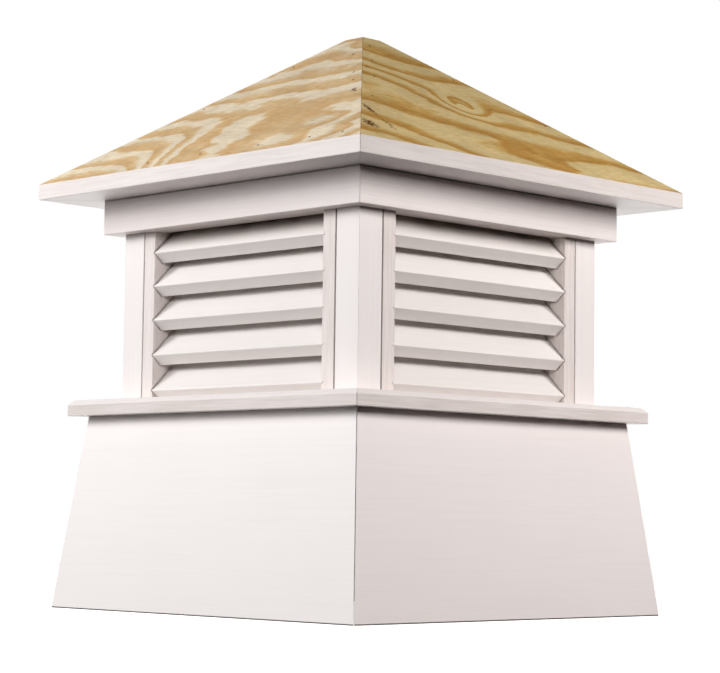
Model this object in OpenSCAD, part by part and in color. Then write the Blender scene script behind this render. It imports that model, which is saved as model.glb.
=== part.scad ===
// Square louvred roof cupola: flared base, mitred sill, louvred body, frieze,
// flat boxed eave and a plywood hip roof.
// Millimetres, +Z up, origin at the centre of the footprint. The front faces -Y.

/* [Base] */
// Width of the base across its bottom edge
base_bottom_w = 520; // [480:1:560]
// Width of the base across its top edge
base_top_w = 463; // [460:1:480]
// Height of the base panels
base_h = 231.5; // [150:0.5:320]
// Thickness of the base panels
base_t = 19; // [12:0.5:22]

/* [Sill] */
// Width of the sill over its outer edges
sill_w = 500; // [490:1:540]
// Width of one sill board, from its outer edge inwards
sill_board_w = 89; // [84:1:89]
// Thickness of the sill boards
sill_t = 19; // [12:0.5:25]
// Chamfer along the sill's outer top edge
sill_chamfer = 5.5; // [1:0.5:8]

/* [Body] */
// Width of the louvred body over its corner posts
body_w = 406.4; // [400:0.2:412]
// Side of a square corner post
post_w = 36; // [30:1:40]
// Face width of the upright stile beside each post
stile_w = 21; // [16:0.5:26]
// Open joint between a post and the stile beside it
joint_gap = 2; // [0.5:0.25:2.5]
// Height of the louvres that shows between the sill and the frieze
louvre_h = 203.5; // [202:0.5:215]
// Thickness of the head rail behind the frieze
head_rail_t = 19; // [12:0.5:25]

/* [Louvres] */
// Number of blades on a side
blade_count = 5; // [3:1:5]
// Rise from one nose to the next at the bottom of the opening
blade_pitch_low = 42.5; // [41:0.5:42.5]
// Rise from one nose to the next at the top of the opening
blade_pitch_high = 40.5; // [39.5:0.5:40.5]
// How far a blade reaches in behind its nose
blade_depth = 38; // [34:0.5:40]
// Slope of a blade's upper leg
blade_slope = 44.5; // [40:0.5:45]
// Drop of the lip below the nose
lip_drop = 11.6; // [8:0.1:12]
// How far the lip runs back under the nose
lip_depth = 12; // [8:0.5:14]
// Thickness of a blade's two legs
blade_t = 3; // [2:0.5:5]
// How far a blade's end runs into its housing in the stile
tenon = 0.6; // [0.4:0.1:1.5]
// Depth of the housings cut in the stile
housing_depth = 2.4; // [2:0.1:4]
// Clearance of the housing over, under and in front of the blade
housing_gap = 1.4; // [0.2:0.1:1.5]

/* [Frieze] */
// Height of the frieze boards under the eave
frieze_h = 42; // [30:1:60]
// Thickness of the frieze boards
frieze_t = 19; // [12:0.5:25]

/* [Eave] */
// Width of the eave over its outer edges
eave_w = 558.8; // [530:0.2:620]
// Width of one eave board, from its outer edge inwards
eave_board_w = 114; // [112:1:118]
// Thickness of the eave boards, which is the band that shows
eave_t = 19; // [12:0.5:25]

/* [Roof] */
// Pitch of the four roof panels
roof_pitch = 35; // [25:0.5:45]
// Thickness of the plywood
roof_t = 12; // [9:0.5:16]
// Pitch of the small planed cap at the peak
cap_pitch = 17; // [8:1:24]
// Half the width of the planed cap
cap_half_w = 15.5; // [8:0.5:24]

/* [Hidden] */
base_slant = atan((base_bottom_w - base_top_w) / 2 / base_h);
base_inset = base_t / cos(base_slant);
sill_top = base_h + sill_t;
frieze_bottom = sill_top + louvre_h;
eave_bottom = frieze_bottom + frieze_h;
eave_top = eave_bottom + eave_t;
front_plane = body_w / 2;
opening_half_w = front_plane - post_w - stile_w;
upright_h = eave_bottom - sill_top;
roof_foot_inset = roof_t / sin(roof_pitch);
roof_inner_half_w = eave_w / 2 - roof_foot_inset;
cap_foot_z = eave_top + (eave_w / 2 - cap_half_w) * tan(roof_pitch);
cap_top_z = cap_foot_z + cap_half_w * tan(cap_pitch);
total_h = cap_top_z;
pvc = "#efe8e6";
plywood = "#dcb984";

// Height of blade i's nose over the sill: the pitch shrinks evenly from low to high
function nose_z(i) =
    sill_top + lip_drop + blade_pitch_low * i
    - (blade_pitch_low - blade_pitch_high) * i * (i - 1) / 2 / (blade_count - 2);

// Blade section as points of [distance in from the front plane, height over the nose].
// gap moves its outer faces out, and the blade still rests on the inner ones
function blade_section(gap = 0) =
    let (
        rise = blade_depth * tan(blade_slope),
        lip_angle = atan(lip_drop / lip_depth),
        leg_off = gap / cos(blade_slope),
        lip_off = gap / cos(lip_angle),
        leg_t = blade_t / cos(blade_slope),
        lip_t = blade_t / cos(lip_angle),
        // where the outer faces meet in front of the nose, and the inner ones behind it
        nose_in = -(leg_off + lip_off) / (tan(blade_slope) + tan(lip_angle)),
        crotch_in = (leg_t + lip_t) / (tan(blade_slope) + tan(lip_angle))
    )
    [
        [nose_in, leg_off + nose_in * tan(blade_slope)],
        [blade_depth, rise + leg_off],
        [blade_depth, rise - leg_t],
        [crotch_in, crotch_in * tan(blade_slope) - leg_t],
        [lip_depth, -lip_drop + lip_t],
        [lip_depth, -lip_drop - lip_off],
    ];

// Turns a piece made for the front round to side i
module on_side(i) {
    rotate([0, 0, 90 * i])
        children();
}

// A length of moulding along X with its section given as [y, z] points
module moulding(section, length) {
    rotate([90, 0, 90])
        linear_extrude(height = length, center = true)
            polygon(section);
}

// A front board whose two ends are mitred at 45 degrees towards the centre
module mitred_board(section, half_w) {
    intersection() {
        moulding(section, 2 * half_w);
        linear_extrude(height = total_h)
            polygon([[0, 0], [half_w, -half_w], [-half_w, -half_w]]);
    }
}

// Flared base panel, leaning in towards its top
module base_panel(i) {
    bottom = base_bottom_w / 2;
    top = base_top_w / 2;
    section = [
        [-bottom, 0],
        [-bottom + base_inset, 0],
        [-top + base_inset, base_h],
        [-top, base_h],
    ];
    color(pvc) on_side(i) mitred_board(section, bottom);
}

// Sill board with a chamfer along its outer top edge
module sill(i) {
    outer = sill_w / 2;
    inner = outer - sill_board_w;
    section = [
        [-outer, base_h],
        [-inner, base_h],
        [-inner, sill_top],
        [-outer + sill_chamfer, sill_top],
        [-outer, sill_top - sill_chamfer],
    ];
    color(pvc) on_side(i) mitred_board(section, outer);
}

// Square corner post, made for the front right corner
module corner_post(i) {
    color(pvc) on_side(i)
        translate([front_plane - post_w, -front_plane, sill_top])
            cube([post_w, post_w, upright_h]);
}

// The blades of one side, or with a gap the housings that take their ends
module blade_stack(length, gap = 0) {
    section = [for (p = blade_section(gap)) [p[0] - front_plane, p[1]]];
    for (n = [0 : blade_count - 1])
        translate([0, 0, nose_z(n)])
            moulding(section, length);
}

// Upright stile beside a post, housed for the ends of the blades
module stile(i, hand) {
    color(pvc) on_side(i) difference() {
        mirror([hand == "left" ? 1 : 0, 0, 0])
            translate([opening_half_w, -front_plane, sill_top])
                cube([stile_w - joint_gap, post_w, upright_h]);
        blade_stack(2 * (opening_half_w + housing_depth), housing_gap);
    }
}

// The blades of one side, as separate extrusions
module louvre_blades(i) {
    color(pvc) on_side(i) blade_stack(2 * (opening_half_w + tenon));
}

// Head rail between the stiles, behind the frieze
module head_rail(i) {
    color(pvc) on_side(i)
        translate([-opening_half_w, -front_plane, frieze_bottom])
            cube([2 * opening_half_w, head_rail_t, frieze_h]);
}

// Frieze board nailed over the posts and head rail
module frieze(i) {
    inner = front_plane;
    outer = inner + frieze_t;
    section = [
        [-outer, frieze_bottom],
        [-inner, frieze_bottom],
        [-inner, eave_bottom],
        [-outer, eave_bottom],
    ];
    color(pvc) on_side(i) mitred_board(section, outer);
}

// Flat eave board: its underside is the soffit and its edge is the white band
module eave_board(i) {
    outer = eave_w / 2;
    inner = outer - eave_board_w;
    section = [
        [-outer, eave_bottom],
        [-inner, eave_bottom],
        [-inner, eave_top],
        [-outer, eave_top],
    ];
    color(pvc) on_side(i) mitred_board(section, outer);
}

// Plywood roof panel, mitred at the hips and planed to a shallow cap at the peak
module roof_panel(i) {
    outer = eave_w / 2;
    section = [
        [-outer, eave_top],
        [-roof_inner_half_w, eave_top],
        [0, eave_top + roof_inner_half_w * tan(roof_pitch)],
        [0, cap_top_z],
        [-cap_half_w, cap_foot_z],
    ];
    color(plywood) on_side(i) mitred_board(section, outer);
}

base_panel(0);  // base_panel_front
base_panel(1);  // base_panel_right
base_panel(2);  // base_panel_back
base_panel(3);  // base_panel_left
sill(0);  // sill_front
sill(1);  // sill_right
sill(2);  // sill_back
sill(3);  // sill_left
corner_post(0);  // corner_post_front_right
corner_post(1);  // corner_post_back_right
corner_post(2);  // corner_post_back_left
corner_post(3);  // corner_post_front_left
stile(0, "left");  // stile_front_left
stile(0, "right");  // stile_front_right
stile(1, "left");  // stile_right_left
stile(1, "right");  // stile_right_right
stile(2, "left");  // stile_back_left
stile(2, "right");  // stile_back_right
stile(3, "left");  // stile_left_left
stile(3, "right");  // stile_left_right
louvre_blades(0);  // louvre_blades_front
louvre_blades(1);  // louvre_blades_right
louvre_blades(2);  // louvre_blades_back
louvre_blades(3);  // louvre_blades_left
head_rail(0);  // head_rail_front
head_rail(1);  // head_rail_right
head_rail(2);  // head_rail_back
head_rail(3);  // head_rail_left
frieze(0);  // frieze_front
frieze(1);  // frieze_right
frieze(2);  // frieze_back
frieze(3);  // frieze_left
eave_board(0);  // eave_board_front
eave_board(1);  // eave_board_right
eave_board(2);  // eave_board_back
eave_board(3);  // eave_board_left
roof_panel(0);  // roof_panel_front
roof_panel(1);  // roof_panel_right
roof_panel(2);  // roof_panel_back
roof_panel(3);  // roof_panel_left
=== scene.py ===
"""Looks of a square louvred roof cupola.

White cellular PVC boards and vinyl louvre blades under a bare sanded plywood hip roof, standing
on a pale studio floor. Every length is in metres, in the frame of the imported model.
"""

import logging
import math
import random
from dataclasses import dataclass, replace
from enum import Enum
from typing import Callable, Iterable, Sequence

import bmesh
import bpy
from mathutils import Matrix, Vector


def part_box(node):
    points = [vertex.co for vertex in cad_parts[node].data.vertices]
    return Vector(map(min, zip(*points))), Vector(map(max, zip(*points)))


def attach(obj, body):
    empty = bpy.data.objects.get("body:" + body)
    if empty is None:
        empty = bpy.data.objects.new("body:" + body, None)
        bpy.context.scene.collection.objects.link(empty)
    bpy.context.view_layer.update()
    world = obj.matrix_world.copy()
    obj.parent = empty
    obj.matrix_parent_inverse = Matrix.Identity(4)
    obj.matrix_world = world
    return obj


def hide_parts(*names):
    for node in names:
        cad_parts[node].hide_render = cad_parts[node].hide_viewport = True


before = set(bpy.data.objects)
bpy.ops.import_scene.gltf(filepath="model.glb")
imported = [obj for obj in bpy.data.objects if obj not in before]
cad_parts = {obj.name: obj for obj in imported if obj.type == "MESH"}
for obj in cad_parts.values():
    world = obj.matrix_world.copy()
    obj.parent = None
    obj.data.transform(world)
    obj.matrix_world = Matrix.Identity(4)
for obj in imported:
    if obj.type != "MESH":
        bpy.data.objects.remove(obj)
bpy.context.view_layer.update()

log = logging.getLogger("cupola")

MM = 0.001
ROOT = "root"

Colour = tuple[float, float, float, float]


class Axis(Enum):
    """The direction that a board, and so its streaks, run in."""

    X = 0
    Y = 1
    Z = 2


class Side(Enum):
    """One of the four sides, numbered by quarter turns from the front."""

    FRONT = 0
    RIGHT = 1
    BACK = 2
    LEFT = 3

    @property
    def word(self) -> str:
        """The side's name as the nodes use it."""
        return self.name.lower()

    @property
    def turn(self) -> Matrix:
        """Turns a piece made for the front round to this side."""
        return Matrix.Rotation(math.radians(90 * self.value), 4, "Z")

    @property
    def to_front(self) -> Matrix:
        """Turns a piece of this side round to the front."""
        return self.turn.inverted()

    @property
    def along(self) -> Axis:
        """The row axis that boards on this side run along."""
        return Axis.X if self.value % 2 == 0 else Axis.Y


def linear(hex_code: str) -> Colour:
    """Turns an sRGB hex colour to linear RGBA, by the numbers of the sRGB curve.

    Args:
        hex_code: Six hex digits after a hash sign.

    Returns:
        Linear red, green and blue, and an alpha of 1.
    """
    parts = [int(hex_code[i : i + 2], 16) / 255 for i in (1, 3, 5)]
    lin = [c / 12.92 if c <= 0.04045 else ((c + 0.055) / 1.055) ** 2.4 for c in parts]
    return (lin[0], lin[1], lin[2], 1.0)


def add_node(
    tree: bpy.types.NodeTree,
    kind: str,
    settings: dict | None = None,
    inputs: dict | None = None,
    stops: Sequence[tuple[float, Colour]] = (),
) -> bpy.types.Node:
    """Adds one shader node with its settings, socket values, links and ramp colours.

    Args:
        tree: The node tree to add to.
        kind: The node's type name without the leading "ShaderNode".
        settings: Properties of the node itself.
        inputs: Socket name or number to a value, or to the output socket that feeds it.
        stops: Positions and colours, for a colour ramp.

    Returns:
        The new node.
    """
    node = tree.nodes.new("ShaderNode" + kind)
    for name, value in (settings or {}).items():
        setattr(node, name, value)
    for key, value in (inputs or {}).items():
        if isinstance(value, bpy.types.NodeSocket):
            tree.links.new(value, node.inputs[key])
        else:
            node.inputs[key].default_value = value
    if stops:
        elements = node.color_ramp.elements
        while len(elements) < len(stops):
            elements.new(0.5)
        for element, (position, colour) in zip(elements, stops):
            element.position = position
            element.color = colour
    return node


def new_material(name: str) -> tuple[bpy.types.Material, bpy.types.NodeTree, bpy.types.Node]:
    """Starts a material with only its shader and output.

    Args:
        name: The material's name.

    Returns:
        The material, its node tree and its Principled shader.
    """
    material = bpy.data.materials.new(name)
    material.use_nodes = True
    tree = material.node_tree
    tree.nodes.clear()
    shader = add_node(tree, "BsdfPrincipled")
    add_node(tree, "OutputMaterial", inputs={"Surface": shader.outputs["BSDF"]})
    return material, tree, shader


# ---------------------------------------------------------------------------------- finishes

NOISE_MEAN = 0.5


@dataclass(frozen=True)
class Grime:
    """Painted shade whose share changes evenly between two places along one axis.

    It gives the eye a grey brown where shade falls, under the eave and in shaded corners.
    """

    along: Axis
    start: float
    end: float
    share_at_start: float
    share_at_end: float
    tone: str = "#5e5145"

    def lay(
        self,
        tree: bpy.types.NodeTree,
        place: bpy.types.NodeSocket,
        colour: bpy.types.NodeSocket,
        cloud: bpy.types.NodeSocket,
    ) -> bpy.types.NodeSocket:
        """Paints shade onto a board where it lies.

        Args:
            tree: The node tree to add to.
            place: The place on the object.
            colour: The colour without the painted shade.
            cloud: Soft noise that makes the painted shade uneven.

        Returns:
            The colour with the painted shade.
        """
        axes = add_node(tree, "SeparateXYZ", inputs={"Vector": place})
        share = add_node(
            tree,
            "MapRange",
            inputs={
                "Value": axes.outputs[self.along.value],
                "From Min": self.start,
                "From Max": self.end,
                "To Min": self.share_at_start,
                "To Max": self.share_at_end,
            },
        )
        uneven = add_node(
            tree, "Math", {"operation": "MULTIPLY"}, {0: share.outputs["Result"], 1: cloud}
        )
        amount = add_node(
            tree, "Math", {"operation": "MULTIPLY"}, {0: uneven.outputs[0], 1: 1 / NOISE_MEAN}
        )
        mix = add_node(
            tree,
            "Mix",
            {"data_type": "RGBA"},
            {0: amount.outputs[0], 6: colour, 7: linear(self.tone)},
        )
        return mix.outputs[2]


@dataclass(frozen=True)
class PvcFinish:
    """White cellular PVC or extruded vinyl: matt, faintly streaked along the board.

    Extrusion and the saw leave lines along the board, and handling leaves a few specks. That
    gives the eye a soft white that is never quite even. The real lines lie a few tenths of a
    millimetre apart, which is too fine to show, so they are drawn coarser.
    """

    name: str
    along: Axis
    face: str
    streak: str
    roughness: float = 0.55
    ior: float = 1.5
    specular: float = 0.35
    streak_w: float = 2.2 * MM
    streak_len: float = 160 * MM
    streak_to: float = 0.28
    face_from: float = 0.62
    clouds_per_metre: float = 9.0
    cloud_share: float = 0.55
    speck: str = "#7d7067"
    speck_share: float = 0.10
    speck_gap: float = 26 * MM
    speck_r: float = 0.55 * MM
    relief: float = 0.015 * MM
    relief_strength: float = 0.6
    # Painted shade laid over the colour, if any.
    grime: Grime | None = None

    def towards(self, along: Axis) -> "PvcFinish":
        """Gives the same finish for boards that run another way."""
        return replace(self, along=along)

    def build(self) -> bpy.types.Material:
        """Makes the material.

        Returns:
            The new material.
        """
        material, tree, shader = new_material(self.name)
        place = add_node(tree, "TexCoord").outputs["Object"]
        lines = self.add_lines(tree, place)
        cloud = add_node(
            tree,
            "TexNoise",
            inputs={
                "Vector": place,
                "Scale": self.clouds_per_metre,
                "Detail": 2.0,
                "Roughness": 0.5,
            },
        ).outputs["Fac"]
        tone = add_node(
            tree,
            "Math",
            {"operation": "MULTIPLY_ADD"},
            {0: cloud, 1: self.cloud_share, 2: -self.cloud_share * NOISE_MEAN},
        )
        mixed = add_node(tree, "Math", {"operation": "ADD"}, {0: lines, 1: tone.outputs[0]})
        white = add_node(
            tree,
            "ValToRGB",
            inputs={"Fac": mixed.outputs[0]},
            stops=[(self.streak_to, linear(self.streak)), (self.face_from, linear(self.face))],
        ).outputs["Color"]
        # Painted shade darkens the white, where the finish has it.
        with_painted_shade = self.grime.lay(tree, place, white, cloud) if self.grime else white
        colour = add_node(
            tree,
            "Mix",
            {"data_type": "RGBA"},
            {0: self.add_specks(tree, place), 6: with_painted_shade, 7: linear(self.speck)},
        )
        bump = add_node(
            tree,
            "Bump",
            inputs={"Strength": self.relief_strength, "Distance": self.relief, "Height": lines},
        )
        tree.links.new(colour.outputs[2], shader.inputs["Base Color"])
        tree.links.new(bump.outputs["Normal"], shader.inputs["Normal"])
        shader.inputs["Roughness"].default_value = self.roughness
        shader.inputs["IOR"].default_value = self.ior
        shader.inputs["Specular IOR Level"].default_value = self.specular
        return material

    def add_lines(
        self, tree: bpy.types.NodeTree, place: bpy.types.NodeSocket
    ) -> bpy.types.NodeSocket:
        """Adds fine noise drawn out along the board.

        Args:
            tree: The node tree to add to.
            place: The place on the object.

        Returns:
            The noise, from 0 to 1.
        """
        scale = [1 / self.streak_w] * 3
        scale[self.along.value] = 1 / self.streak_len
        drawn_out = add_node(tree, "Mapping", inputs={"Vector": place, "Scale": scale})
        noise = add_node(
            tree,
            "TexNoise",
            inputs={"Vector": drawn_out.outputs[0], "Scale": 1.0, "Detail": 3.0, "Roughness": 0.6},
        )
        return noise.outputs["Fac"]

    def add_specks(
        self, tree: bpy.types.NodeTree, place: bpy.types.NodeSocket
    ) -> bpy.types.NodeSocket:
        """Adds round specks, one in each chosen cell of a loose pattern.

        Args:
            tree: The node tree to add to.
            place: The place on the object.

        Returns:
            1 on a speck and 0 elsewhere.
        """
        cells = add_node(
            tree, "TexVoronoi", {"feature": "F1"}, {"Vector": place, "Scale": 1 / self.speck_gap}
        )
        near = add_node(
            tree,
            "Math",
            {"operation": "LESS_THAN"},
            {0: cells.outputs["Distance"], 1: self.speck_r / self.speck_gap},
        )
        split = add_node(tree, "SeparateColor", inputs={"Color": cells.outputs["Color"]})
        chosen = add_node(
            tree,
            "Math",
            {"operation": "LESS_THAN"},
            {0: split.outputs["Red"], 1: self.speck_share},
        )
        speck = add_node(
            tree, "Math", {"operation": "MULTIPLY"}, {0: near.outputs[0], 1: chosen.outputs[0]}
        )
        return speck.outputs[0]


# Sheet of the flared base: smooth and clean, a soft white with hardly a streak. The sides that
# run along Y are painted a shade warmer and darker, which is painted shade.
SHEET = PvcFinish("cellular_pvc_sheet", Axis.X, "#f6efee", "#f3ecea", relief=0.003 * MM)
SHADED_SHEET = replace(SHEET, along=Axis.Y, face="#f4ebe9", streak="#f1e8e6")

# Faces of the trim boards: planed, matt and faintly streaked.
FACE = PvcFinish("cellular_pvc_face", Axis.X, "#ece5e3", "#e9e1df")

# Frieze: greyer from handling. The dark line where it meets the eave is painted shade, darkest
# at the top.
FRIEZE = PvcFinish(
    "handled_cellular_pvc",
    Axis.X,
    "#e5dcda",
    "#dfd5d2",
    # Painted shade over the top 2.5 mm of the frieze, under the eave.
    grime=Grime(Axis.Z, 493.5 * MM, 496 * MM, 0.0, 0.9),
)

# Sawn edges: the open cells take up dirt, so short grey streaks and more specks show.
EDGE = PvcFinish(
    "sawn_cellular_pvc",
    Axis.X,
    "#e5dbd8",
    "#d6cbc6",
    streak_w=2.6 * MM,
    streak_len=60 * MM,
    speck_share=0.2,
    relief=0.03 * MM,
)

# The sawn edge of the eave: streaked as well. Painted shade darkens it faintly towards +X on the
# sides along X, and more on the sides along Y, most towards -Y.
BAND = PvcFinish(
    "sawn_eave_band",
    Axis.X,
    "#e7dedb",
    "#dbd1cd",
    streak_w=2.6 * MM,
    streak_len=60 * MM,
    relief=0.03 * MM,
    grime=Grime(Axis.X, -280 * MM, 280 * MM, 0.0, 0.05),
)
# The sides along Y get more painted shade, most at their -Y end.
SHADED_BAND = replace(BAND, along=Axis.Y, grime=Grime(Axis.Y, -280 * MM, 280 * MM, 0.25, 0.13))

# Louvre blades: extruded, so smoother than board. The top one is painted darker towards the
# frieze, which is painted shade.
VINYL = PvcFinish(
    "extruded_vinyl",
    Axis.X,
    "#eee8e5",
    "#ebe4e1",
    relief=0.008 * MM,
    # Painted shade on the top blade, from 431 mm up to the frieze.
    grime=Grime(Axis.Z, 431 * MM, 455 * MM, 0.0, 0.95),
)

# Painted shade in the open joint beside a stile: its wall there is a dull grey, which shows as a
# dark line.
JOINT = PvcFinish("painted_shade_pvc_joint", Axis.Z, "#aaa099", "#9d938c")

# The cut foot of the base: dark partly from dirt of standing on the ground, and partly as painted
# contact shadow.
FOOT = PvcFinish("soiled_and_shaded_pvc_foot", Axis.Z, "#6a635d", "#57504a")


def by_direction(*finishes: PvcFinish) -> dict[Axis, bpy.types.Material]:
    """Makes the finishes of one kind of board, one for each direction that it runs in.

    Args:
        finishes: The finishes, each with its own direction.

    Returns:
        The materials by direction.
    """
    return {
        finish.along: replace(finish, name=f"{finish.name}_{finish.along.name.lower()}").build()
        for finish in finishes
    }


@dataclass(frozen=True)
class Patch:
    """A soft oval place on a roof panel, in metres along the eave and up the slope.

    Its rise is how many growth rings it lifts the grain, or how dark a stain it is.
    """

    along: float
    up: float
    reach_along: float
    reach_up: float
    rise: float

    def add(
        self,
        tree: bpy.types.NodeTree,
        at: bpy.types.NodeSocket,
        total: bpy.types.NodeSocket | float,
    ) -> bpy.types.NodeSocket:
        """Adds the patch to a running total, falling off smoothly from its middle.

        Args:
            tree: The node tree to add to.
            at: The place on the panel.
            total: The sum so far.

        Returns:
            The new sum.
        """
        scale = (1 / self.reach_along, 1 / self.reach_up, 1.0)
        shift = (-self.along / self.reach_along, -self.up / self.reach_up, 0.0)
        away = add_node(tree, "Mapping", inputs={"Vector": at, "Location": shift, "Scale": scale})
        square = add_node(
            tree,
            "VectorMath",
            {"operation": "DOT_PRODUCT"},
            {0: away.outputs[0], 1: away.outputs[0]},
        )
        fall = add_node(
            tree, "Math", {"operation": "POWER"}, {0: 1 / math.e, 1: square.outputs["Value"]}
        )
        summed = add_node(
            tree,
            "Math",
            {"operation": "MULTIPLY_ADD"},
            {0: fall.outputs[0], 1: self.rise, 2: total},
        )
        return summed.outputs[0]


@dataclass(frozen=True)
class WoodTones:
    """The colours of one veneer, from the dark late wood to the pale early wood."""

    dark: str
    tan: str
    pale: str
    pale_from: float


@dataclass(frozen=True)
class Wave:
    """Noise drawn out along the grain, by the size of its features in metres.

    Its rings are how many growth rings it shifts the grain by.
    """

    length: float
    height: float
    detail: float = 1.0
    rings: float = 1.0


# Real fibres are a few tenths of a millimetre wide, too fine to show, so these are coarser.
FIBRE = Wave(15 * MM, 1.3 * MM, detail=3.0)
FLECK = Wave(6 * MM, 2.2 * MM, detail=2.0)
CLOUD = Wave(70 * MM, 35 * MM, detail=2.0)
SWAYS = (Wave(90 * MM, 30 * MM, rings=3.2), Wave(30 * MM, 16 * MM, rings=1.3))
FRINGE = Wave(26 * MM, 4 * MM, rings=0.6)

# How much further up the slope than along the eave a seed moves the noise.
SEED_UP = 3.0

# What multiplies the wood's colour, from the low to the high values of a noise.
FIBRE_SHADES = ((0.30, (0.80, 0.76, 0.70, 1.0)), (0.62, (1.02, 1.02, 1.02, 1.0)))
CLOUD_SHADES = ((0.30, (0.90, 0.88, 0.85, 1.0)), (0.70, (1.06, 1.05, 1.03, 1.0)))


@dataclass(frozen=True)
class PlywoodFinish:
    """Sanded pine plywood, rotary cut: broad cathedral bands of pale and orange wood.

    The peeled veneer crosses the growth rings at a shallow angle, so the eye sees wide, wavy
    bands along the grain, crisp on one side and feathered by fibres on the other. Swells lift
    the rings locally, which bends the bands into arches and loops. The ring is the height of
    one band up the slope, and the lean its climb along the eave.
    """

    name: str
    tones: WoodTones
    ring: float
    start: float
    lean: float
    sway: float
    torn: float
    seed: float
    swells: tuple[Patch, ...]
    stains: tuple[Patch, ...] = ()
    stain: str = "#5f3413"
    stain_from: float = 0.34
    stain_full: float = 0.52
    dark_at: float = 0.07
    tan_lead: float = 0.15
    pale_to: float = 0.95
    relief: float = 0.12 * MM
    relief_strength: float = 0.5
    roughness: float = 0.85
    specular: float = 0.06

    def build(self) -> bpy.types.Material:
        """Makes the material.

        Returns:
            The new material.
        """
        material, tree, shader = new_material(self.name)
        at = add_node(tree, "UVMap", {"uv_map": "grain"}).outputs["UV"]
        fibre = self.add_noise(tree, at, FIBRE)
        band = add_node(tree, "Math", {"operation": "FRACT"}, {0: self.add_rings(tree, at, fibre)})
        tones = self.tones
        wood = add_node(
            tree,
            "ValToRGB",
            inputs={"Fac": band.outputs[0]},
            stops=[
                (0.00, linear(tones.tan)),
                (self.dark_at, linear(tones.dark)),
                (tones.pale_from - self.tan_lead, linear(tones.tan)),
                (tones.pale_from, linear(tones.pale)),
                (self.pale_to, linear(tones.pale)),
                (1.00, linear(tones.tan)),
            ],
        )
        grain = add_node(tree, "ValToRGB", inputs={"Fac": fibre}, stops=FIBRE_SHADES)
        cloud = self.add_noise(tree, at, CLOUD)
        shade = add_node(tree, "ValToRGB", inputs={"Fac": cloud}, stops=CLOUD_SHADES)
        grained = self.multiply(tree, wood.outputs["Color"], grain.outputs["Color"])
        shaded = self.multiply(tree, grained, shade.outputs["Color"])
        stained = self.add_stains(tree, at, shaded)
        bump = add_node(
            tree,
            "Bump",
            inputs={"Strength": self.relief_strength, "Distance": self.relief, "Height": fibre},
        )
        tree.links.new(stained, shader.inputs["Base Color"])
        tree.links.new(bump.outputs["Normal"], shader.inputs["Normal"])
        shader.inputs["Roughness"].default_value = self.roughness
        shader.inputs["Specular IOR Level"].default_value = self.specular
        return material

    def add_noise(
        self, tree: bpy.types.NodeTree, at: bpy.types.NodeSocket, wave: Wave
    ) -> bpy.types.NodeSocket:
        """Adds noise drawn out along the grain, in a place of the panel's own.

        Args:
            tree: The node tree to add to.
            at: The place on the panel.
            wave: The size and detail of the noise.

        Returns:
            The noise, from 0 to 1.
        """
        drawn_out = add_node(
            tree,
            "Mapping",
            inputs={
                "Vector": at,
                "Location": (self.seed, SEED_UP * self.seed, 0.0),
                "Scale": (1 / wave.length, 1 / wave.height, 1.0),
            },
        )
        noise = add_node(
            tree,
            "TexNoise",
            {"noise_dimensions": "2D"},
            {
                "Vector": drawn_out.outputs[0],
                "Scale": 1.0,
                "Detail": wave.detail,
                "Roughness": 0.6,
            },
        )
        return noise.outputs["Fac"]

    def add_rings(
        self,
        tree: bpy.types.NodeTree,
        at: bpy.types.NodeSocket,
        fibre: bpy.types.NodeSocket,
    ) -> bpy.types.NodeSocket:
        """Adds the count of growth rings over the panel.

        Args:
            tree: The node tree to add to.
            at: The place on the panel.
            fibre: The fine noise that feathers each ring.

        Returns:
            The ring count, whose fraction is the place within a ring.
        """
        axes = add_node(tree, "SeparateXYZ", inputs={"Vector": at})
        climb = add_node(
            tree,
            "Math",
            {"operation": "MULTIPLY_ADD"},
            {0: axes.outputs["Y"], 1: 1 / self.ring, 2: self.start},
        )
        leant = add_node(
            tree,
            "Math",
            {"operation": "MULTIPLY_ADD"},
            {0: axes.outputs["X"], 1: self.lean / self.ring, 2: climb.outputs[0]},
        )
        total = leant.outputs[0]
        for swell in self.swells:
            total = swell.add(tree, at, total)
        shifts = [(self.add_noise(tree, at, wave), wave.rings * self.sway) for wave in SWAYS]
        shifts.append((self.add_noise(tree, at, FRINGE), FRINGE.rings * self.torn))
        shifts.append((fibre, self.torn))
        for noise, amount in shifts:
            centred = add_node(tree, "Math", {"operation": "SUBTRACT"}, {0: noise, 1: NOISE_MEAN})
            total = add_node(
                tree,
                "Math",
                {"operation": "MULTIPLY_ADD"},
                {0: centred.outputs[0], 1: amount, 2: total},
            ).outputs[0]
        return total

    @staticmethod
    def multiply(
        tree: bpy.types.NodeTree, one: bpy.types.NodeSocket, other: bpy.types.NodeSocket
    ) -> bpy.types.NodeSocket:
        """Multiplies two colours.

        Args:
            tree: The node tree to add to.
            one: The first colour.
            other: The second colour.

        Returns:
            Their product.
        """
        mix = add_node(
            tree, "Mix", {"data_type": "RGBA", "blend_type": "MULTIPLY"}, {0: 1.0, 6: one, 7: other}
        )
        return mix.outputs[2]

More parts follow.
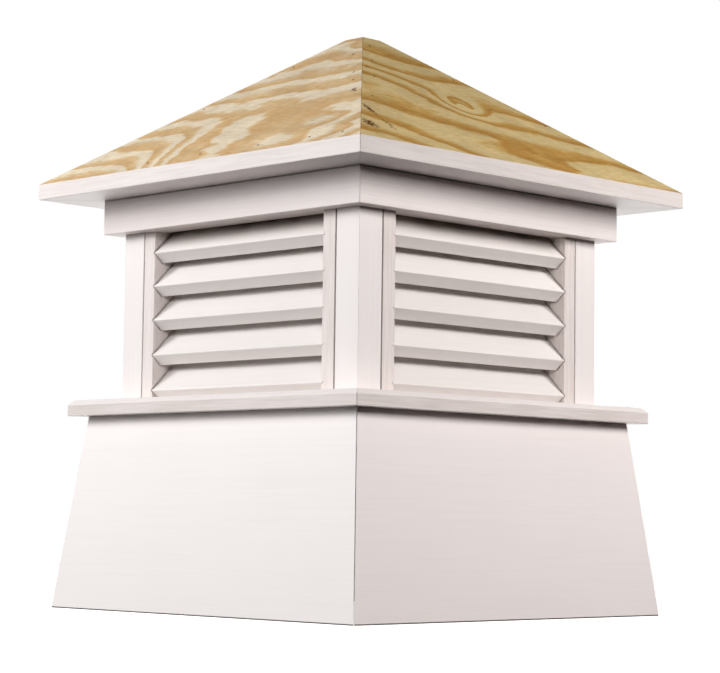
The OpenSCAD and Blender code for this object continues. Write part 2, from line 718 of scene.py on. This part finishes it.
    def add_stains(
        self,
        tree: bpy.types.NodeTree,
        at: bpy.types.NodeSocket,
        colour: bpy.types.NodeSocket,
    ) -> bpy.types.NodeSocket:
        """Adds small knots and torn, darkened slivers.

        Args:
            tree: The node tree to add to.
            at: The place on the panel.
            colour: The wood's colour.

        Returns:
            The stained colour.
        """
        if not self.stains:
            return colour
        total: bpy.types.NodeSocket | float = 0.0
        for stain in self.stains:
            total = stain.add(tree, at, total)
        flecks = self.add_noise(tree, at, FLECK)
        broken = add_node(tree, "Math", {"operation": "MULTIPLY"}, {0: total, 1: flecks})
        amount = add_node(
            tree,
            "MapRange",
            inputs={
                "Value": broken.outputs[0],
                "From Min": self.stain_from,
                "From Max": self.stain_full,
            },
        )
        mix = add_node(
            tree,
            "Mix",
            {"data_type": "RGBA"},
            {0: amount.outputs["Result"], 6: colour, 7: linear(self.stain)},
        )
        return mix.outputs[2]


PALE_TONES = WoodTones("#deb887", "#e6caa0", "#f3e5cd", 0.62)
HONEY_TONES = WoodTones("#b58744", "#caa661", "#d8c28f", 0.48)

VENEERS = {
    Side.FRONT: PlywoodFinish(
        "pine_plywood_front",
        PALE_TONES,
        ring=34 * MM,
        start=0.0,
        lean=0.0,
        sway=0.22,
        torn=0.26,
        seed=5.3,
        swells=(
            Patch(0.118, -0.020, 0.165, 0.100, 4.6),
            Patch(-0.035, -0.020, 0.052, 0.100, 2.3),
            Patch(-0.032, 0.075, 0.020, 0.045, 0.15),
            Patch(0.020, 0.060, 0.024, 0.080, -0.17),
            Patch(0.088, 0.085, 0.050, 0.050, 0.32),
            Patch(0.180, 0.062, 0.036, 0.016, 0.8),
            Patch(0.035, 0.288, 0.026, 0.036, 0.45),
            Patch(-0.010, 0.262, 0.070, 0.030, -0.4),
            Patch(0.000, 0.330, 0.120, 0.060, -1.25),
        ),
        stains=(
            Patch(0.152, 0.141, 0.008, 0.006, 1.0),
            Patch(0.160, 0.134, 0.007, 0.003, 0.8),
        ),
    ),
    Side.RIGHT: PlywoodFinish(
        "pine_plywood_right",
        HONEY_TONES,
        ring=42 * MM,
        start=0.25,
        lean=0.12,
        sway=0.12,
        torn=0.20,
        seed=11.1,
        swells=(
            Patch(0.012, 0.150, 0.032, 0.026, 1.75),
            Patch(0.012, 0.150, 0.009, 0.008, -0.80),
            Patch(-0.125, 0.185, 0.095, 0.060, -1.5),
            Patch(0.090, 0.215, 0.060, 0.040, -0.8),
            Patch(0.020, -0.010, 0.170, 0.060, 1.7),
            Patch(-0.100, 0.030, 0.060, 0.040, 0.3),
            Patch(0.150, 0.020, 0.060, 0.040, -0.3),
            Patch(0.000, 0.320, 0.120, 0.060, -1.0),
        ),
        stains=(
            Patch(-0.094, 0.217, 0.006, 0.006, 1.0),
            Patch(-0.202, 0.080, 0.009, 0.020, 1.0),
            Patch(-0.235, 0.036, 0.016, 0.016, 1.1),
            Patch(-0.200, 0.040, 0.010, 0.022, 0.8),
            Patch(-0.060, 0.300, 0.012, 0.012, 0.8),
        ),
    ),
    Side.BACK: PlywoodFinish(
        "pine_plywood_back",
        PALE_TONES,
        ring=38 * MM,
        start=0.45,
        lean=0.05,
        sway=0.22,
        torn=0.40,
        seed=23.7,
        swells=(
            Patch(0.120, 0.040, 0.110, 0.080, 2.0),
            Patch(-0.100, 0.120, 0.090, 0.060, -1.4),
        ),
    ),
    Side.LEFT: PlywoodFinish(
        "pine_plywood_left",
        HONEY_TONES,
        ring=40 * MM,
        start=0.70,
        lean=-0.08,
        sway=0.16,
        torn=0.30,
        seed=37.9,
        swells=(
            Patch(-0.080, 0.110, 0.060, 0.040, 1.5),
            Patch(0.110, 0.060, 0.120, 0.060, -1.1),
        ),
    ),
}


@dataclass(frozen=True)
class NailFinish:
    """Weathered steel nail heads, driven and left bare, which show as small dark dots."""

    name: str = "weathered_steel_nail"
    dark: str = "#241a13"
    dark_to: float = 0.35
    rusty: str = "#40352c"
    rusty_from: float = 0.65
    spots_per_metre: float = 900.0
    metallic: float = 0.3
    roughness: float = 0.8
    specular: float = 0.15

    def build(self) -> bpy.types.Material:
        """Makes the material.

        Returns:
            The new material.
        """
        material, tree, shader = new_material(self.name)
        place = add_node(tree, "TexCoord").outputs["Object"]
        rust = add_node(
            tree,
            "TexNoise",
            inputs={"Vector": place, "Scale": self.spots_per_metre, "Detail": 2.0},
        )
        colour = add_node(
            tree,
            "ValToRGB",
            inputs={"Fac": rust.outputs["Fac"]},
            stops=[(self.dark_to, linear(self.dark)), (self.rusty_from, linear(self.rusty))],
        )
        tree.links.new(colour.outputs["Color"], shader.inputs["Base Color"])
        shader.inputs["Metallic"].default_value = self.metallic
        shader.inputs["Roughness"].default_value = self.roughness
        shader.inputs["Specular IOR Level"].default_value = self.specular
        return material


# ------------------------------------------------------------------------------- mesh helpers

WELD = 0.001 * MM
ON_PLANE = 0.0001 * MM
FLAT = math.radians(0.5)
SHARP = math.radians(12)

# How far along a direction a unit normal reaches, to count as square on or as leaning to it.
SQUARE_ON = 0.9
LEANING = 0.2


def merged_copy(node: str) -> bmesh.types.BMesh:
    """Copies a CAD node's mesh with its loose triangles merged to flat faces.

    Args:
        node: The CAD node's name.

    Returns:
        A new bmesh.
    """
    bm = bmesh.new()
    bm.from_mesh(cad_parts[node].data)
    bmesh.ops.remove_doubles(bm, verts=bm.verts, dist=WELD)
    bmesh.ops.dissolve_limit(bm, angle_limit=FLAT, verts=bm.verts, edges=bm.edges)
    return bm


def saw(bm: bmesh.types.BMesh, point: Vector, normal: Vector) -> None:
    """Cuts off what lies in front of a plane and closes the cut.

    Args:
        bm: The solid to cut.
        point: A point on the plane.
        normal: The direction of the waste.
    """
    geom = [*bm.verts, *bm.edges, *bm.faces]
    bmesh.ops.bisect_plane(
        bm, geom=geom, dist=ON_PLANE, plane_co=point, plane_no=normal, clear_outer=True
    )
    rim = [e for e in bm.edges if e.is_boundary]
    bmesh.ops.holes_fill(bm, edges=rim, sides=0)


def saw_mitres(bm: bmesh.types.BMesh, side: Side, kerf: float) -> None:
    """Saws both ends of a piece a kerf short of the mitres at its corners.

    Args:
        bm: The solid to cut.
        side: The side it belongs to.
        kerf: How far short each end is.
    """
    for hand in (-1, 1):
        normal = (side.turn @ Vector((hand, 1, 0))).normalized()
        saw(bm, -normal * kerf, normal)


def round_edges(
    bm: bmesh.types.BMesh, edges: list[bmesh.types.BMEdge], radius: float, segments: int
) -> None:
    """Rounds some edges of a solid.

    Args:
        bm: The solid.
        edges: The edges to round.
        radius: How far the rounding reaches.
        segments: Faces across each edge.
    """
    bmesh.ops.bevel(
        bm,
        geom=edges,
        offset=radius,
        offset_type="OFFSET",
        segments=segments,
        profile=0.5,
        affect="EDGES",
        clamp_overlap=True,
        material=-1,
    )


def ease(bm: bmesh.types.BMesh, radius: float, segments: int = 2) -> None:
    """Rounds every arris of a solid a little.

    Args:
        bm: The solid.
        radius: How far the rounding reaches.
        segments: Faces across each arris.
    """
    round_edges(bm, [e for e in bm.edges if e.calc_face_angle(0) > SHARP], radius, segments)


def new_piece(
    name: str,
    bm: bmesh.types.BMesh,
    materials: Sequence[bpy.types.Material],
    stands_for: Iterable[str] = (),
) -> bpy.types.Object:
    """Turns a finished bmesh into a piece of the object.

    Args:
        name: The piece's name.
        bm: Its mesh, in place. It is freed.
        materials: The materials that its faces' numbers point to.
        stands_for: CAD nodes that the piece replaces.

    Returns:
        The new object.
    """
    mesh = bpy.data.meshes.new(name)
    bm.to_mesh(mesh)
    bm.free()
    for material in materials:
        mesh.materials.append(material)
    piece = bpy.data.objects.new(name, mesh)
    bpy.context.scene.collection.objects.link(piece)
    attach(piece, ROOT)
    if stands_for:
        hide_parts(*stands_for)
    log.info("%s: %d faces", name, len(mesh.polygons))
    return piece


# ------------------------------------------------------------------------------- sub-assemblies


def faces_out(normal: Vector) -> bool:
    """Says whether a face, turned to the front, looks straight out."""
    return normal.y < -SQUARE_ON


def faces_down(normal: Vector) -> bool:
    """Says whether a face looks straight down."""
    return normal.z < -SQUARE_ON


def faces_ground(normal: Vector) -> bool:
    """Says whether a face looks somewhat down, as the arris of a foot does."""
    return normal.z < -LEANING


@dataclass
class Boards:
    """Straight boards of one kind, one a side, cut from the CAD solids.

    A mitred board's ends are sawn a kerf short, so that a real seam shows at each corner. A
    foot is the lowest strip of a board, which is dressed as its sawn edge is.
    """

    kind: str
    slot: str
    suffix: str
    is_edge: Callable[[Vector], bool]
    arris: float = 0.7 * MM
    kerf: float = 0.05 * MM
    mitred: bool = True
    foot: float = 0.0

    def cut(self, node: str, side: Side) -> bmesh.types.BMesh:
        """Shapes one board.

        Args:
            node: The CAD node to copy.
            side: The side it belongs to.

        Returns:
            The board's solid, in place.
        """
        bm = merged_copy(node)
        if self.mitred:
            saw_mitres(bm, side, self.kerf)
        if self.foot:
            bmesh.ops.bisect_plane(
                bm,
                geom=[*bm.verts, *bm.edges, *bm.faces],
                dist=ON_PLANE,
                plane_co=Vector((0, 0, self.foot)),
                plane_no=Vector((0, 0, 1)),
            )
        ease(bm, self.arris)
        return bm

    def build(
        self, face: dict[Axis, bpy.types.Material], edge: dict[Axis, bpy.types.Material]
    ) -> None:
        """Makes the four boards and dresses their faces and sawn edges.

        Args:
            face: The finish of the faces, by the board's direction.
            edge: The finish of the sawn edges, by the board's direction.
        """
        for side in Side:
            node = f"{self.kind}_{side.word}"
            bm = self.cut(node, side)
            to_front = side.to_front
            for f in bm.faces:
                low = f.calc_center_median().z < self.foot
                f.material_index = int(low or self.is_edge(to_front @ f.normal))
            materials = [face[side.along], edge[side.along]]
            new_piece(f"{node}_{self.suffix}", bm, materials, [node])


@dataclass
class Uprights:
    """Corner posts and the housed stiles beside them."""

    post_arris: float = 0.8 * MM
    stile_arris: float = 0.3 * MM

    def build(
        self,
        post: bpy.types.Material,
        stile: bpy.types.Material,
        joint: bpy.types.Material,
    ) -> None:
        """Makes the posts and stiles.

        Args:
            post: The finish of the posts.
            stile: The finish of the stiles.
            joint: The finish of a stile's wall in the open joint beside its post, a painted shade.
        """
        for node in sorted(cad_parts):
            if node.startswith("corner_post_"):
                self.build_post(node, post)
            if node.startswith("stile_"):
                self.build_stile(node, stile, joint)

    def build_post(self, node: str, trim: bpy.types.Material) -> None:
        """Makes one post.

        Args:
            node: The CAD node to copy.
            trim: Its finish.
        """
        bm = merged_copy(node)
        ease(bm, self.post_arris, 3)
        new_piece(f"{node}_trim", bm, [trim], [node])

    def build_stile(
        self, node: str, board: bpy.types.Material, joint: bpy.types.Material
    ) -> None:
        """Makes one stile.

        Args:
            node: The CAD node to copy.
            board: Its finish.
            joint: The finish of its wall in the open joint, a painted shade.
        """
        side = Side[node.split("_")[1].upper()]
        bm = merged_copy(node)
        ease(bm, self.stile_arris, 1)
        to_front = side.to_front
        middle = to_front @ (sum(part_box(node), Vector()) / 2)
        outward = math.copysign(1.0, middle.x)
        for f in bm.faces:
            f.material_index = int((to_front @ f.normal).x * outward > SQUARE_ON)
        new_piece(f"{node}_board", bm, [board, joint], [node])


@dataclass
class Louvres:
    """The blades of the four sides, with their noses rounded as extruded."""

    nose: float = 1.2 * MM
    nose_depth: float = 0.1 * MM
    nose_length: float = 100 * MM

    def build(self, vinyl: dict[Axis, bpy.types.Material]) -> None:
        """Makes the blades.

        Args:
            vinyl: The blades' finish, by their direction.
        """
        for side in Side:
            node = f"louvre_blades_{side.word}"
            bm = merged_copy(node)
            to_front = side.to_front
            reach = min((to_front @ corner).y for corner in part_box(node))
            noses = [
                e
                for e in bm.edges
                if all((to_front @ v.co).y < reach + self.nose_depth for v in e.verts)
                and e.calc_length() > self.nose_length
            ]
            round_edges(bm, noses, self.nose, 3)
            new_piece(f"{node}_vinyl", bm, [vinyl[side.along]], [node])


# Nails by side, as (along the eave, up the slope).
FRONT_NAILS = (
    (-87 * MM, 15 * MM),
    (7 * MM, 15 * MM),
    (105 * MM, 15 * MM),
    (187 * MM, 15 * MM),
    (241 * MM, 15 * MM),
    (48 * MM, 263 * MM),
    (101 * MM, 199 * MM),
    (122 * MM, 173 * MM),
    (-52 * MM, 258 * MM),
    (-128 * MM, 165 * MM),
)
RIGHT_NAILS = (
    (-26 * MM, 293 * MM),
    (-65 * MM, 243 * MM),
    (-106 * MM, 188 * MM),
    (-162 * MM, 122 * MM),
    (72 * MM, 235 * MM),
    (150 * MM, 138 * MM),
)
NAIL_PLACES = {
    Side.FRONT: FRONT_NAILS,
    Side.RIGHT: RIGHT_NAILS,
    Side.BACK: FRONT_NAILS,
    Side.LEFT: RIGHT_NAILS,
}


@dataclass
class Roof:
    """Four plywood panels with their nails."""

    pitch: float = math.radians(35)
    kerf: float = 0.05 * MM
    arris: float = 0.6 * MM
    nail_r: float = 1.7 * MM
    nail_taper: float = 0.8
    nail_proud: float = 0.15 * MM
    nail_drift: float = 2 * MM
    nail_seed: int = 20

    def build(self, plywood: dict[Side, bpy.types.Material], nail: bpy.types.Material) -> None:
        """Makes the panels and the nails.

        Args:
            plywood: The veneer of each side.
            nail: The nails' steel.
        """
        for side in Side:
            self.build_panel(side, plywood[side])
            self.build_nails(side, nail)

    def build_panel(self, side: Side, plywood: bpy.types.Material) -> None:
        """Makes one panel and lays its grain along the eave.

        Args:
            side: The panel's side.
            plywood: Its veneer.
        """
        node = f"roof_panel_{side.word}"
        bm = merged_copy(node)
        saw_mitres(bm, side, self.kerf)
        ease(bm, self.arris)
        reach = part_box("roof_panel_front")[0].y
        to_front = side.to_front
        grain = bm.loops.layers.uv.new("grain")
        for f in bm.faces:
            for loop in f.loops:
                p = to_front @ loop.vert.co
                loop[grain].uv = (p.x, (p.y - reach) / math.cos(self.pitch))
        new_piece(f"{node}_plywood", bm, [plywood], [node])

    def build_nails(self, side: Side, steel: bpy.types.Material) -> None:
        """Drives the nails of one panel.

        Args:
            side: The panel's side.
            steel: The nails' finish.
        """
        rng = random.Random(self.nail_seed + side.value)
        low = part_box("roof_panel_front")[0]
        bm = bmesh.new()
        tilt = Matrix.Rotation(self.pitch, 4, "X")
        for along, up in NAIL_PLACES[side]:
            spot = Vector(
                (
                    along + rng.uniform(-1, 1) * self.nail_drift,
                    low.y + up * math.cos(self.pitch),
                    low.z + up * math.sin(self.pitch),
                )
            )
            bmesh.ops.create_cone(
                bm,
                cap_ends=True,
                segments=10,
                radius1=self.nail_r,
                radius2=self.nail_r * self.nail_taper,
                depth=2 * self.nail_proud,
                matrix=side.turn @ Matrix.Translation(spot) @ tilt,
            )
        new_piece(f"roof_nails_{side.word}", bm, [steel])


# ------------------------------------------------------------------------------------- studio


@dataclass(frozen=True)
class Glow:
    """A bright patch of the surroundings.

    Its turn is counted in degrees from the camera, anticlockwise from above, and its rise in
    degrees above the horizon.
    """

    turn: float
    rise: float
    strength: float


@dataclass(frozen=True)
class Softbox:
    """One square soft light, placed by its direction from the middle of the object.

    Its turn is counted in degrees from the camera, anticlockwise from above.
    """

    name: str
    turn: float
    rise: float
    reach: float
    width: float
    power: float
    tint: str

    def hang(self, facing: float, aim: Vector) -> None:
        """Adds the light to the scene.

        Args:
            facing: The camera's direction from the object, in radians.
            aim: The point that the light faces.
        """
        place = aim + self.reach * bearing(facing, self.turn, self.rise)
        data = bpy.data.lights.new(self.name, "AREA")
        data.size = self.width
        data.energy = self.power
        data.color = linear(self.tint)[:3]
        light = bpy.data.objects.new(self.name, data)
        light.matrix_world = (
            Matrix.Translation(place) @ (aim - place).to_track_quat("-Z", "Y").to_matrix().to_4x4()
        )
        bpy.context.scene.collection.objects.link(light)


def bearing(facing: float, turn: float, rise: float) -> Vector:
    """Finds a direction from the object.

    Args:
        facing: The camera's direction from the object, in radians.
        turn: Degrees anticlockwise from the camera.
        rise: Degrees above the horizon.

    Returns:
        A unit vector.
    """
    around = facing + math.radians(turn)
    up = math.radians(rise)
    return Vector(
        (math.cos(around) * math.cos(up), math.sin(around) * math.cos(up), math.sin(up))
    )


@dataclass
class Studio:
    """Camera, pale floor and soft light."""

    stand: Vector = Vector((1.9274, -1.9153, 0.1102))
    heading: float = math.radians(135.15)
    pitch: float = math.radians(4.70)
    roll: float = math.radians(0.79)
    lens: float = 111.7
    sensor: float = 36.0
    far: float = 100.0
    aim: Vector = Vector((0, 0, 0.35))
    floor_r: float = 3.0
    floor_solid_to: float = 0.5
    floor_gone_from: float = 1.6
    floor_glow: float = 0.75
    glow_focus: float = 8.0
    glows: tuple[Glow, ...] = (
        Glow(180, -35, 4.3),
        Glow(180, 10, 1.5),
        Glow(-90, 5, 0.75),
    )
    softboxes: tuple[Softbox, ...] = (
        Softbox("right_softbox", 68, 19, 1.6, 0.55, 17.0, "#fffcfa"),
        Softbox("left_softbox", -84, 22, 2.3, 0.75, 28.0, "#feffff"),
        Softbox("low_left_softbox", -65, 12, 1.8, 0.60, 7.3, "#feffff"),
        Softbox("front_softbox", 0, 14, 2.3, 0.60, 19.4, "#ffffff"),
    )

    def build(self) -> None:
        """Sets up the whole studio."""
        self.build_camera()
        self.build_floor()
        self.build_world()
        for softbox in self.softboxes:
            softbox.hang(self.facing, self.aim)

    @property
    def facing(self) -> float:
        """The camera's direction from the object, in radians."""
        return math.atan2(self.stand.y, self.stand.x)

    def build_camera(self) -> None:
        """Places the camera low, before the corner between the front and right sides."""
        data = bpy.data.cameras.new("camera")
        data.lens = self.lens
        data.sensor_width = self.sensor
        data.clip_end = self.far
        camera = bpy.data.objects.new("camera", data)
        camera.matrix_world = (
            Matrix.Translation(self.stand)
            @ Matrix.Rotation(self.heading - math.pi / 2, 4, "Z")
            @ Matrix.Rotation(math.pi / 2 + self.pitch, 4, "X")
            @ Matrix.Rotation(self.roll, 4, "Z")
        )
        bpy.context.scene.collection.objects.link(camera)
        bpy.context.scene.camera = camera

    def build_floor(self) -> None:
        """Lays a round pale floor, lit from within like a light table, that fades out."""
        bm = bmesh.new()
        bmesh.ops.create_circle(bm, cap_ends=True, segments=96, radius=self.floor_r)
        mesh = bpy.data.meshes.new("studio_floor")
        bm.to_mesh(mesh)
        bm.free()
        floor = bpy.data.objects.new("studio_floor", mesh)
        bpy.context.scene.collection.objects.link(floor)
        material, tree, shader = new_material("pale_studio_floor")
        place = add_node(tree, "TexCoord").outputs["Object"]
        away = add_node(tree, "VectorMath", {"operation": "LENGTH"}, {0: place})
        solid = add_node(
            tree,
            "MapRange",
            {"interpolation_type": "SMOOTHSTEP"},
            {
                "Value": away.outputs["Value"],
                "From Min": self.floor_solid_to,
                "From Max": self.floor_gone_from,
                "To Min": 1.0,
                "To Max": 0.0,
            },
        )
        tree.links.new(solid.outputs["Result"], shader.inputs["Alpha"])
        shader.inputs["Base Color"].default_value = linear("#f2f1f0")
        shader.inputs["Roughness"].default_value = 0.9
        shader.inputs["Specular IOR Level"].default_value = 0.0
        shader.inputs["Emission Color"].default_value = (1.0, 1.0, 1.0, 1.0)
        shader.inputs["Emission Strength"].default_value = self.floor_glow
        mesh.materials.append(material)
        floor.visible_diffuse = False
        floor.visible_glossy = False

    def build_world(self) -> None:
        """Surrounds the object with white, and lights it by the glows."""
        world = bpy.data.worlds.new("studio_world")
        bpy.context.scene.world = world
        world.use_nodes = True
        tree = world.node_tree
        tree.nodes.clear()
        place = add_node(tree, "TexCoord").outputs["Generated"]
        power = 0.0
        for glow in self.glows:
            middle = bearing(self.facing, glow.turn, glow.rise)
            near = add_node(
                tree, "VectorMath", {"operation": "DOT_PRODUCT"}, {0: place, 1: tuple(middle)}
            )
            front = add_node(
                tree, "Math", {"operation": "MAXIMUM"}, {0: near.outputs["Value"], 1: 0.0}
            )
            patch = add_node(
                tree,
                "Math",
                {"operation": "POWER"},
                {0: front.outputs[0], 1: self.glow_focus},
            )
            power = add_node(
                tree,
                "Math",
                {"operation": "MULTIPLY_ADD"},
                {0: patch.outputs[0], 1: glow.strength, 2: power},
            ).outputs[0]
        lit = add_node(tree, "Background", inputs={"Strength": power})
        seen = add_node(tree, "Background", inputs={"Strength": 1.0})
        for light in (lit, seen):
            light.inputs["Color"].default_value = (1.0, 1.0, 1.0, 1.0)
        ray = add_node(tree, "LightPath")
        mix = add_node(
            tree,
            "MixShader",
            inputs={0: ray.outputs["Is Camera Ray"], 1: lit.outputs[0], 2: seen.outputs[0]},
        )
        add_node(tree, "OutputWorld", inputs={"Surface": mix.outputs[0]})


def main() -> None:
    """Builds the cupola's looks and the studio round it."""
    logging.basicConfig(level=logging.INFO, format="%(name)s %(message)s")
    bpy.context.scene.view_settings.view_transform = "Standard"
    Studio().build()

    sheet = by_direction(SHEET, SHADED_SHEET)
    face = by_direction(*(FACE.towards(axis) for axis in Axis))
    frieze = by_direction(FRIEZE, FRIEZE.towards(Axis.Y))
    edge = by_direction(*(EDGE.towards(axis) for axis in Axis))
    band = by_direction(BAND, SHADED_BAND)
    vinyl = by_direction(VINYL, VINYL.towards(Axis.Y))
    foot = FOOT.build()

    # The base's foot and downward faces get the foot finish: dirt and painted contact shadow.
    base = Boards("base_panel", "base_board", "sheet", faces_ground, kerf=0.3 * MM, foot=1.6 * MM)
    base.build(sheet, {axis: foot for axis in Axis})
    Boards("sill", "trim_board", "board", faces_out, kerf=0.12 * MM).build(face, edge)
    Boards("head_rail", "trim_board", "board", faces_down, mitred=False).build(face, edge)
    Boards("frieze", "trim_board", "board", faces_down).build(frieze, edge)
    Boards("eave_board", "trim_board", "board", faces_out).build(face, band)
    # The stiles' walls in the joints get painted shade.
    Uprights().build(face[Axis.Z], edge[Axis.Z], JOINT.build())
    Louvres().build(vinyl)
    Roof().build({side: VENEERS[side].build() for side in Side}, NailFinish().build())


if __name__ == "__main__":
    main()
